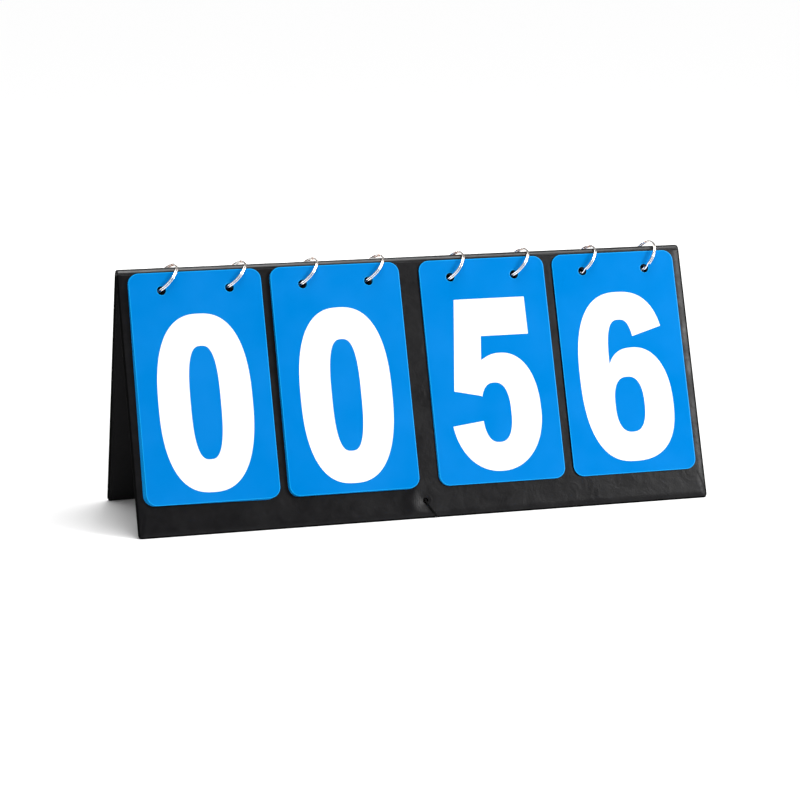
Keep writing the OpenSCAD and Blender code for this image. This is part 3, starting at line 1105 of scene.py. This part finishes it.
@dataclass(frozen=True)
class Numerals:
    """Bold condensed numerals in millimetres about each numeral's middle, from bars and full arcs."""

    top: float = 54.3
    wide: float = 28.8

    def outlines(self, digit: int) -> list[list[Point2]]:
        """Gives a numeral's outlines, holes among them.

        Args:
            digit: The number, from 0 to 9.

        Returns:
            Closed outlines.
        """
        makers: dict[int, Callable[[], list[list[Point2]]]] = {
            0: self.zero, 1: self.one, 2: self.two, 3: self.three, 4: self.four,
            5: self.five, 6: self.six, 7: self.seven, 8: self.eight, 9: self.nine,
        }
        return makers[digit]()

    def zero(self) -> list[list[Point2]]:
        """Gives the 0."""
        return [arc((0, 0), (self.wide, self.top), 0, 360)[:-1],
                arc((0, 0), (9.3, 34.6), 0, 360, 2.8)[:-1]]

    def one(self) -> list[list[Point2]]:
        """Gives the 1."""
        top = self.top
        return [[(15, top), (0, top), (-3, 48.5), (-9, 43), (-19, 40), (-19, 25), (-5, 31), (-5, -top),
                 (15, -top)]]

    def two(self) -> list[list[Point2]]:
        """Gives the 2."""
        top = self.top
        outer = arc((0, 20), (28.3, 34.3), 184, -22)
        inner = arc((0, 20), (9, 15), -22, 184)
        slope = [(19, -6), (-4, -34.8), (self.wide, -34.8), (self.wide, -top), (-self.wide, -top),
                 (-self.wide, -42), (-21, -28), (3, 3)]
        return [outer + slope + inner]

    def three(self) -> list[list[Point2]]:
        """Gives the 3."""
        upper = arc((0, 26), (27.6, 28.3), 192, -48)
        lower = arc((0, -23), (29.2, 31.3), 52, -186)
        inner_lower = arc((0, -22.5), (9.6, 13), 188, 448)
        inner_upper = arc((0, 24.5), (9, 11.2), -88, 188)
        waist = [(-5, -9.5), (-5, 13.3)]
        return [upper + lower + inner_lower + waist + inner_upper]

    def four(self) -> list[list[Point2]]:
        """Gives the 4."""
        top = self.top
        outer = [(-3, top), (17.5, top), (17.5, -13), (29, -13), (29, -31), (17.5, -31), (17.5, -top),
                 (-1, -top), (-1, -31), (-30, -31), (-30, -14)]
        return [outer, [(-1, -13), (-1, 24), (-14.5, -13)]]

    def five(self) -> list[list[Point2]]:
        """Gives the 5."""
        bar = [(-20.3, self.top), (25.6, self.top), (25.8, 30.7), (-5.2, 30.7), (-6.6, 15.6)]
        bowl = arc((6, -17), (23.2, 36.5), 114, 0, 2.25)
        base = arc((0, -17), (29.3, 37.2), 0, -169, 2.15)
        inside = arc((0.3, -17.6), (9.4, 18.7), 191, 512, 2.5)
        return [bar + bowl + base + inside + [(-8.8, -6.8), (-25.9, -3.1)]]

    def six(self) -> list[list[Point2]]:
        """Gives the 6."""
        hook = arc((0.5, 14), (28, 40), 20, 90) + arc((0.5, 2), (30.7, 52), 90, 180)
        base = arc((0.5, 2), (30.7, 56), 180, 270) + arc((0.5, -19), (29.7, 35), 270, 360)
        bowl = arc((6.7, -19), (23.5, 37), 0, 90, 2.25) + arc((6.7, -4), (18, 22), 90, 143)
        inside = arc((-0.6, 8), (9.1, 28.3), 180, 30, 2.8)
        return [hook + base + bowl + inside + [(7.6, 25.3)], arc((1.1, -18), (9.8, 17.6), 0, 360)[:-1]]

    def seven(self) -> list[list[Point2]]:
        """Gives the 7."""
        top = self.top
        return [[(-27.5, top), (28.5, top), (28.5, 37), (20, 20), (12, -4), (6.5, -30), (4.5, -top),
                 (-15.5, -top), (-13, -28), (-6, 0), (7.5, 34.6), (-27.5, 34.6)]]

    def eight(self) -> list[list[Point2]]:
        """Gives the 8."""
        outer = arc((0, 26.5), (26.8, 27.8), -46, 226) + arc((0, -24), (29, 30.3), 128, 412)
        return [outer, arc((0, 25.5), (8.6, 12), 0, 360)[:-1], arc((0, -23.5), (9.5, 14), 0, 360)[:-1]]

    def nine(self) -> list[list[Point2]]:
        """Gives the 9, which is the 6 turned upside down."""
        return [half_turn(outline) for outline in self.six()]


@dataclass
class CardPiles:
    """The four piles of numbered cards, each card with its print."""

    tent: Tent
    nodes: dict[str, bpy.types.Object]
    cutter: SheetCutter
    stacks: tuple[str, ...] = ("home_tens", "home_units", "guest_tens", "guest_units")
    skews: tuple[float, ...] = (0.075, 0.02, 0.04, -0.03)
    corner: float = 6.5 * MM
    hole: float = 5.6 * MM
    hole_side: float = 20.7 * MM
    hole_down: float = 10.9 * MM
    rim: float = 0.45 * MM
    rim_fall: float = 0.05 * MM
    hole_rim: float = 0.3 * MM
    hole_sides: int = 28
    ink: float = 0.022 * MM
    ink_sink: float = 0.002 * MM
    prints_down: tuple[float, ...] = (79.7 * MM, 80.2 * MM, 79.0 * MM, 78.8 * MM)
    print_size: float = 0.99 * MM
    corner_steps: int = 10
    numerals: Numerals = field(default_factory=Numerals)

    def build(self) -> list[tuple[bpy.types.Object, bpy.types.Object, str]]:
        """Builds every card and numeral.

        Returns:
            For each card its plate, its numeral and the name of the node that they stand for.
        """
        made = []
        for stack, skew, print_down in zip(self.stacks, self.skews, self.prints_down):
            front = [digit for digit in range(10) if self.is_front(f"{stack}_card_{digit}")]
            for digit in range(10):
                node = f"{stack}_card_{digit}"
                under = digit - front[0] if digit in front else front[0] - 1 - digit
                plate, numeral = self.card(stack, digit, node, -math.radians(skew) * under, print_down)
                made.append((plate, numeral, node))
        return made

    def is_front(self, node: str) -> bool:
        """Says whether a card hangs in front."""
        low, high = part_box(node)
        return low.y + high.y < 0

    def card(self, stack: str, digit: int, node: str, skew: float,
             print_down: float) -> tuple[bpy.types.Object, bpy.types.Object]:
        """Builds one card where its node is, a little skewed on its rings.

        Args:
            stack: Name of its pile.
            digit: Its number.
            node: The node that it stands for.
            skew: Turn about its rings, in radians.
            print_down: Distance from its top edge to the middle of its print.

        Returns:
            Its plate and its numeral.
        """
        frame = self.tent.slope(Side.FRONT) if self.is_front(node) else self.tent.turned_slope()
        back = np.array(frame.inverted())
        spots = np.array([vertex.co for vertex in self.nodes[node].data.vertices])
        spots = spots @ back[:3, :3].T + back[:3, 3]
        low, high = spots.min(axis=0), spots.max(axis=0)
        size = high - low
        hang = Vector((0, -self.hole_down, 0))
        place = frame @ Matrix.Translation(((low[0] + high[0]) / 2, high[1], (low[2] + high[2]) / 2))
        place = place @ Matrix.Translation(hang) @ Matrix.Rotation(skew, 4, "Z") @ Matrix.Translation(-hang)
        plate = self.plate(f"{stack}_number_card_{digit}", size[0], size[1], size[2])
        plate.data.transform(place)
        outlines = [[Vector((x, y, 0)) * self.print_size for x, y in outline]
                    for outline in self.numerals.outlines(digit)]
        numeral = self.cutter.cut(f"{stack}_numeral_{digit}", outlines, self.ink, WHITE_INK)
        numeral.data.transform(place @ Matrix.Translation((0, -print_down, size[2] / 2 - self.ink_sink)))
        return plate, numeral

    def outline(self, wide: float, tall: float, inset: float) -> list[Point2]:
        """Gives the card's rounded outline, drawn in by an inset, anticlockwise from the lower right."""
        radius = self.corner - inset
        half, top, low = wide / 2 - self.corner, -self.corner, -tall + self.corner
        corners = ((half, low, -90), (half, top, 0), (-half, top, 90), (-half, low, 180))
        return [
            (x + radius * math.cos(math.radians(start + 90 * i / self.corner_steps)),
             y + radius * math.sin(math.radians(start + 90 * i / self.corner_steps)))
            for x, y, start in corners for i in range(self.corner_steps + 1)
        ]

    def ring_of(self, x: float, radius: float) -> list[Point2]:
        """Gives the points round one of the card's holes, clockwise."""
        turns = [-math.tau * i / self.hole_sides for i in range(self.hole_sides)]
        return [(x + radius * math.cos(turn), -self.hole_down + radius * math.sin(turn)) for turn in turns]

    def plate(self, name: str, wide: float, tall: float, thick: float) -> bpy.types.Object:
        """Builds a card's plate with eased edges, its top edge on y nought.

        Args:
            name: The piece's name.
            wide: Its width.
            tall: Its height.
            thick: Its thickness.

        Returns:
            The plate.
        """
        half = thick / 2
        loops = [(self.outline(wide, tall, 0), self.outline(wide, tall, self.rim))]
        loops += [(self.ring_of(x, self.hole / 2), self.ring_of(x, self.hole / 2 + self.hole_rim))
                  for x in (-self.hole_side, self.hole_side)]
        points: list[Vector] = []
        faces: list[Face] = []
        eased: list[int] = []
        starts = []
        for way in (1, -1):
            flats = []
            for edge, flat in loops:
                base = len(points)
                points += [Vector((x, y, way * (half - self.rim_fall))) for x, y in edge]
                points += [Vector((x, y, way * half)) for x, y in flat]
                count = len(edge)
                starts.append((base, count))
                flats.append((base + count, flat))
                for i in range(count):
                    j = (i + 1) % count
                    eased.append(len(faces))
                    faces.append((base + i, base + j, base + count + j, base + count + i)[::way])
            numbers = [start + i for start, flat in flats for i in range(len(flat))]
            fan = tessellate_polygon([[Vector((x, y, 0)) for x, y in flat] for _, flat in flats])
            for triangle in fan:
                a, b, c = (numbers[i] for i in triangle)
                turned = (points[b] - points[a]).cross(points[c] - points[a]).z * way < 0
                faces.append((a, c, b) if turned else (a, b, c))
        walls_from = len(faces)
        for (above, count), (below, _) in zip(starts[:3], starts[3:]):
            faces += [(above + i, below + i, below + (i + 1) % count, above + (i + 1) % count)
                      for i in range(count)]
        made = Shaper.piece(name, points, faces, [CARD_FACE, CARD_RIM_PAINTED_HIGHLIGHT, CARD_SIDE_PAINTED_SHADE])
        # The eased rims take the paler copy, a painted highlight.
        for number in eased:
            made.data.polygons[number].material_index = 1
        # The cut sides take the darker copy, painted shade.
        for number in range(walls_from, len(faces)):
            made.data.polygons[number].material_index = 2
        return made


@dataclass
class SplitRings:
    """The eight split rings, each two flat turns of wire that join at a crank."""

    drawer: WireDrawer
    places: Sequence[RingPlace]
    wire: float = 0.45 * MM
    pitch: float = 1.12 * MM
    crank: float = 20
    step: float = 4
    sides: int = 14
    opens_at: tuple[float, ...] = (262, 284, 270, 255, 290, 275, 226, 218)

    def build(self) -> list[bpy.types.Object]:
        """Builds every ring.

        Returns:
            The rings, from left to right.
        """
        return [self.ring(number, place) for number, place in enumerate(self.places)]

    def ring(self, number: int, place: RingPlace) -> bpy.types.Object:
        """Builds one ring.

        Args:
            number: Its number from the left, from nought.
            place: Where it sits.

        Returns:
            The ring.
        """
        level, up = place.across()
        opens = self.opens_at[number]
        path = []
        last = 720 - self.crank
        for i in range(round(last / self.step) + 1):
            turn = i * self.step
            share = max(0.0, min(1.0, (turn - 360 + self.crank) / self.crank))
            along = self.pitch * (share * share * (3 - 2 * share) - 0.5)
            angle = math.radians(opens + turn)
            path.append(place.middle + along * place.axis
                        + place.radius * (math.cos(angle) * level + math.sin(angle) * up))
        return self.drawer.draw(f"split_ring_{number + 1}", [path], self.wire, self.sides, False, WIRE)


@dataclass
class SpacerCord:
    """The looped cord that runs out of one panel, under both feet and back through the other."""

    tent: Tent
    drawer: WireDrawer
    diameter: float = 1 * MM
    hole_x: float = -3.2 * MM
    hole_up: float = 11 * MM
    foot_x: float = 2.8 * MM
    lay: float = 3.6 * MM
    strands: int = 3
    strand_share: float = 0.27
    sides: int = 7
    step: float = 0.45 * MM

    def half(self, side: Side) -> list[Vector]:
        """Gives the listed points of one half of the loop, from inside to under the foot."""
        tent, long = self.tent, self.tent.slope_length
        off, low = self.diameter / 2 + 0.15 * MM, self.diameter / 2 + 0.1 * MM
        depth, way = tent.open_depth / 2, side.value
        return [
            tent.slope_point(self.hole_x, long - self.hole_up, -tent.thickness - 4 * MM, side),
            tent.slope_point(self.hole_x, long - self.hole_up, -tent.thickness, side),
            tent.slope_point(self.hole_x, long - self.hole_up, -self.diameter, side),
            tent.slope_point(self.hole_x + 0.1 * MM, long - self.hole_up + 0.3 * MM, 0.2 * MM, side),
            tent.slope_point(self.hole_x + 0.6 * MM, long - self.hole_up + 1.2 * MM, off, side),
            tent.slope_point(0, long - self.hole_up / 2, off, side),
            tent.slope_point(self.foot_x - 0.3 * MM, long - 1.8 * MM, off + 0.05 * MM, side),
            Vector((self.foot_x, -way * (depth + 0.05 * MM), low + 0.55 * MM)),
            Vector((self.foot_x, -way * (depth - 1.2 * MM), low)),
            Vector((self.foot_x, -way * (depth - 6 * MM), low)),
        ]

    def smooth_loop(self, route: Sequence[Vector]) -> list[Vector]:
        """Threads a smooth closed line through the route's points."""
        line = []
        count = len(route)
        for i in range(count):
            a, b, c, d = (route[(i + k) % count] for k in (-1, 0, 1, 2))
            reach = (c - b).length
            start = (c - a).normalized() * reach
            end = (d - b).normalized() * reach
            steps = max(3, round(reach / self.step))
            for k in range(steps):
                t = k / steps
                line.append(b * (2 * t**3 - 3 * t**2 + 1) + start * (t**3 - 2 * t**2 + t)
                            + c * (3 * t**2 - 2 * t**3) + end * (t**3 - t**2))
        return line

    def build(self) -> bpy.types.Object:
        """Builds the cord of twisted strands round the loop.

        Returns:
            The cord.
        """
        line = self.smooth_loop(self.half(Side.FRONT) + self.half(Side.BACK)[::-1])
        gaps = [(line[(i + 1) % len(line)] - line[i]).length for i in range(len(line))]
        total = sum(gaps)
        turns = round(total / self.lay)
        strand = self.diameter * self.strand_share
        lay_radius = self.diameter / 2 - strand
        paths: list[list[Vector]] = [[] for _ in range(self.strands)]
        gone = 0.0
        for i, here in enumerate(line):
            along = (line[(i + 1) % len(line)] - line[i - 1]).normalized()
            across = along.cross(Vector((1, 0, 0))).normalized()
            other = along.cross(across)
            for k, path in enumerate(paths):
                angle = math.tau * (turns * gone / total + k / self.strands)
                path.append(here + lay_radius * (math.cos(angle) * across + math.sin(angle) * other))
            gone += gaps[i]
        LOG.info("spacer cord is a loop of %.0f mm", total / MM)
        return self.drawer.draw("spacer_cord_loop", paths, strand, self.sides, True, CORD)


@dataclass(frozen=True)
class SoftLight:
    """A large soft lamp that looks at the middle of the object."""

    name: str
    place: Point2
    height: float
    size: float
    power: float

    def build(self, target: Vector) -> None:
        """Adds the lamp, turned towards the target."""
        lamp = bpy.data.lights.new(self.name, "AREA")
        lamp.shape = "SQUARE"
        lamp.size = self.size
        lamp.energy = self.power
        made = add_object(self.name, lamp)
        made.location = (self.place[0], self.place[1], self.height)
        made.rotation_euler = (target - made.location).to_track_quat("-Z", "Y").to_euler()


@dataclass
class Studio:
    """The camera at the photograph's angle, a pale floor and soft light."""

    azimuth: float = 16.177
    elevation: float = 10.618
    roll: float = -0.444
    distance: float = 1.5703
    lens: float = 113.715
    sensor: float = 36
    target: tuple[float, float, float] = (-0.0039, 0.0, 0.06317)
    surrounding: float = 0.2
    sky_power: float = 2.72
    sky_spread: float = 38
    sky_from: tuple[float, float, float] = (0.11, -0.08, 1.0)
    floor_reach: float = 30.0
    floor_colour: Colour = (0.98, 0.98, 0.98, 1)
    floor_roughness: float = 0.9
    lamps: tuple[SoftLight, ...] = (
        SoftLight("right_light", (1.14, -1.1), 0.78, 0.45, 18),
        SoftLight("back_light", (0.3, 1.5), 0.5, 0.28, 4),
        SoftLight("left_light", (-1.5, -0.4), 0.4, 0.2, 3),
    )

    def camera(self) -> None:
        """Places the camera as it stood for the photograph."""
        az, el, roll = (math.radians(angle) for angle in (self.azimuth, self.elevation, self.roll))
        back = Vector((-math.sin(az) * math.cos(el), -math.cos(az) * math.cos(el), math.sin(el)))
        level = (-back).cross(Vector((0, 0, 1))).normalized()
        upright = level.cross(-back)
        right = math.cos(roll) * level + math.sin(roll) * upright
        up = -math.sin(roll) * level + math.cos(roll) * upright
        data = bpy.data.cameras.new("photo_camera")
        data.lens = self.lens
        data.sensor_width = self.sensor
        data.sensor_fit = "HORIZONTAL"
        made = add_object("photo_camera", data)
        turn = Matrix((right, up, back)).transposed().to_4x4()
        made.matrix_world = Matrix.Translation(Vector(self.target) + self.distance * back) @ turn
        bpy.context.scene.camera = made

    def light(self) -> None:
        """Adds the lamps and an even white surrounding."""
        scene = bpy.context.scene
        scene.view_settings.view_transform = "Standard"
        world = scene.world or bpy.data.worlds.new("studio")
        scene.world = world
        world.use_nodes = True
        world.node_tree.nodes.clear()
        sheet = NodeSheet(world.node_tree)
        glow = sheet.add("ShaderNodeBackground", Color=(1, 1, 1, 1), Strength=self.surrounding)
        sheet.join(glow.outputs["Background"], sheet.add("ShaderNodeOutputWorld").inputs["Surface"])
        sky = bpy.data.lights.new("sky_light", "SUN")
        sky.energy = self.sky_power
        sky.angle = math.radians(self.sky_spread)
        made = add_object("sky_light", sky)
        made.rotation_euler = Vector(self.sky_from).to_track_quat("Z", "Y").to_euler()
        for lamp in self.lamps:
            lamp.build(Vector(self.target))

    def floor(self) -> bpy.types.Object:
        """Lays the pale floor.

        Returns:
            The floor.
        """
        reach = self.floor_reach
        corners = [(-reach, -reach, 0), (reach, -reach, 0), (reach, reach, 0), (-reach, reach, 0)]
        paint = bpy.data.materials.new("pale_floor")
        paint.use_nodes = True
        shader = paint.node_tree.nodes["Principled BSDF"]
        shader.inputs["Base Color"].default_value = self.floor_colour
        shader.inputs["Roughness"].default_value = self.floor_roughness
        mesh = bpy.data.meshes.new("floor")
        mesh.from_pydata(corners, [], [(0, 1, 2, 3)])
        mesh.materials.append(paint)
        made = add_object("floor", mesh)
        return made


@dataclass
class Scoreboard:
    """The whole object, dressed piece by piece and joined to the bodies that carry it."""

    frame: dict
    tent: Tent = field(default_factory=Tent)
    ring_radius: float = 11 * MM
    cord_bend_share: float = 0.42

    def ring_places(self) -> list[RingPlace]:
        """Reads where the rings sit from the joints that they turn on."""
        joints = {joint["name"]: joint for joint in self.frame["joints"]}
        spins = [joints[f"ring_{number}_spin"] for number in range(1, 9)]
        return [RingPlace(Vector(spin["pos_m"]), Vector(spin["axis"]).normalized(), self.ring_radius)
                for spin in spins]

    def carry(self, piece: bpy.types.Object, node: str) -> None:
        """Joins a piece to the body of the node that it stands for.

        Args:
            piece: The finished piece.
            node: The node.
        """
        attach(piece, self.frame["nodes"][node]["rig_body"])
        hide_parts(node)
        LOG.info("%s stands for %s, %d faces", piece.name, node, len(piece.data.polygons))

    def dress_panels(self, rings: Sequence[RingPlace]) -> None:
        """Builds both covers, and finishes the boards and linings inside them."""
        half, long = self.tent.width / 2, self.tent.slope_length
        for side in Side:
            mitres = [Crease((s * (half - 4.5 * MM), -long + 15 * MM),
                             (s * (half - 0.8 * MM), -long + 1 * MM), 0.35 * MM, 0.6 * MM) for s in (-1, 1)]
            wrinkles = [
                Crease((47 * MM, -long + 9 * MM), (49 * MM, -long + 14 * MM), 0.10 * MM, 0.5 * MM),
                Crease((45 * MM, -long + 11 * MM), (47.5 * MM, -long + 12 * MM), 0.07 * MM, 0.4 * MM),
                Crease((68 * MM, -long + 8 * MM), (67 * MM, -long + 13 * MM), 0.08 * MM, 0.5 * MM),
                Crease((133 * MM, -long + 8 * MM), (139 * MM, -long + 12 * MM), 0.07 * MM, 0.6 * MM),
                Crease((138 * MM, -long + 7 * MM), (146 * MM, -long + 11 * MM), 0.06 * MM, 0.7 * MM),
            ]
            panel = PanelCover(self.tent, side, rings, creases=mitres + wrinkles)
            node = f"{side.name.lower()}_cover"
            self.carry(panel.build(), node)
            walls = panel.hole_walls()
            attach(walls, self.frame["nodes"][node]["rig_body"])
        for node, finish in (("front_board", BOARD), ("back_board", BOARD),
                             ("front_lining", LINING), ("back_lining", LINING)):
            self.finish_node(node, finish)

    def finish_node(self, node: str, finish: Finish) -> None:
        """Gives a node that stays its material."""
        mesh = self.frame["nodes"][node].data
        mesh.materials.clear()
        mesh.materials.append(finish.material())

    def dress_ridge(self) -> None:
        """Builds the ridge tape, and hides the spine strip node that it stands for."""
        tape = RidgeTape(self.tent).build()
        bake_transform(tape)
        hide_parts("spine_strip")

    def dress_cards(self, cutter: SheetCutter) -> None:
        """Builds the cards, and lets each numeral ride with its card."""
        for plate, numeral, node in CardPiles(self.tent, self.frame["nodes"], cutter).build():
            self.carry(plate, node)
            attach(numeral, self.frame["nodes"][node]["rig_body"])

    def dress_rings(self, drawer: WireDrawer, rings: Sequence[RingPlace]) -> None:
        """Builds the split rings."""
        for number, ring in enumerate(SplitRings(drawer, rings).build(), start=1):
            self.carry(ring, f"ring_{number}")

    def dress_cord(self, drawer: WireDrawer) -> None:
        """Builds the spacer cord, and hides the spacer cord node that it stands for."""
        cord = SpacerCord(self.tent, drawer).build()
        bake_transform(cord)
        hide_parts("spacer_cord")


def main() -> None:
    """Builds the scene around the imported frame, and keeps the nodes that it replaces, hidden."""
    logging.basicConfig(level=logging.INFO, format="%(name)s: %(message)s")
    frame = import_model()
    studio = Studio()
    studio.camera()
    board = Scoreboard(frame)
    drawer, cutter = WireDrawer(), SheetCutter()
    rings = board.ring_places()
    board.dress_cord(drawer)
    board.dress_panels(rings)
    board.dress_ridge()
    board.dress_cards(cutter)
    board.dress_rings(drawer, rings)
    studio.light()
    studio.floor()


if __name__ == "__main__":
    main()
